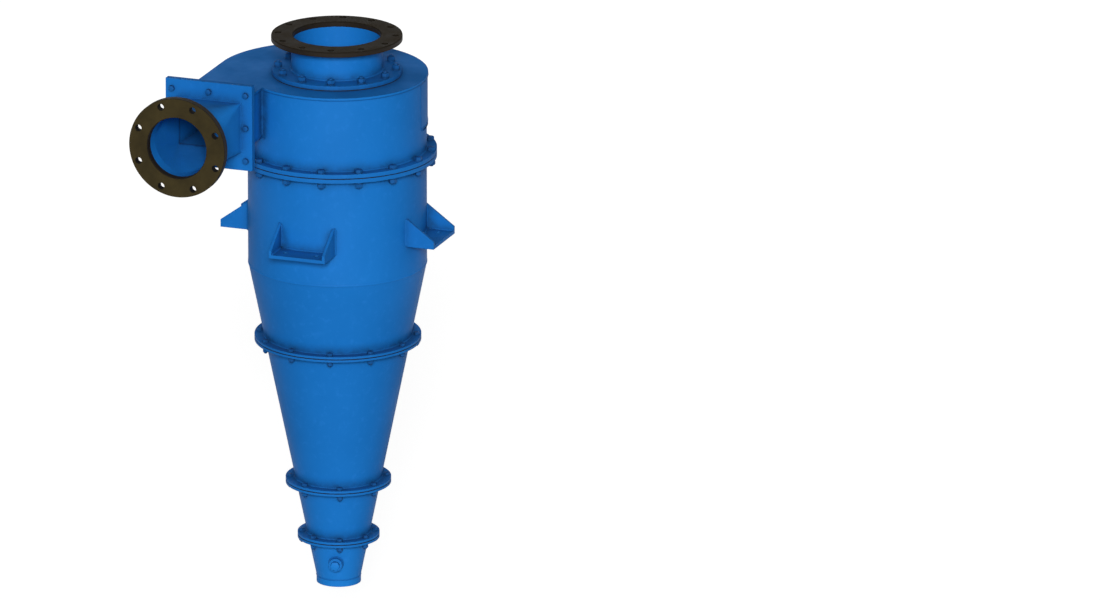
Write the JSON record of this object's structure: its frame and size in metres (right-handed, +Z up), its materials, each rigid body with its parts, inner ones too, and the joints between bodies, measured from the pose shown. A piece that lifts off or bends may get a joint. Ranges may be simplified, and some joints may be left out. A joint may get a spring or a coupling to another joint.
{
  "type": "cyclone separator",
  "caption": "Welded steel cyclone dust separator with a scroll inlet, a flanged gas outlet on top, bolted cone sections and brackets round the barrel.",
  "frame": {"origin": "middle of the front bracket's foot, on its underside, in the plane of all four feet", "axes": "+Z up along the body's vertical axis, which stands at x = 0, y = 0.341; the gas inlet faces -Y on the -X side"},
  "size_m": [0.842, 1.112, 1.919],
  "materials": {
    "paint": "blue gloss paint on welded steel plate",
    "black_paint": "black-brown primer on the two open pipe flanges",
    "gasket": "black rubber sheet"
  },
  "bodies": {
    "root": {"outlet_gasket": "gasket", "outlet_flange": "black_paint", "outlet_neck": "paint", "neck_flange": "paint", "neck_gasket": "gasket", "vortex_finder": "paint", "roof_plate": "paint", "head_shell": "paint", "scroll_wall": "paint", "scroll_floor": "paint", "duct_outer_wall": "paint", "duct_inner_wall": "paint", "duct_flange": "paint", "duct_gasket": "gasket", "transition_flange": "paint", "inlet_transition": "paint", "inlet_pipe": "paint", "inlet_flange": "black_paint", "inlet_gasket": "gasket", "head_flange": "paint", "head_gasket": "gasket", "barrel_flange": "paint", "barrel_shell": "paint", "front_bracket": "paint", "right_bracket": "paint", "back_bracket": "paint", "left_bracket": "paint", "upper_cone": "paint", "upper_cone_flange": "paint", "middle_cone_gasket": "gasket", "middle_cone_top_flange": "paint", "middle_cone": "paint", "middle_cone_bottom_flange": "paint", "lower_cone_gasket": "gasket", "lower_cone_top_flange": "paint", "lower_cone": "paint", "lower_cone_bottom_flange": "paint", "spigot_gasket": "gasket", "spigot_flange": "paint", "spigot": "paint", "cleanout_boss": "paint", "cleanout_plug": "paint"}
  },
  "joints": []
}
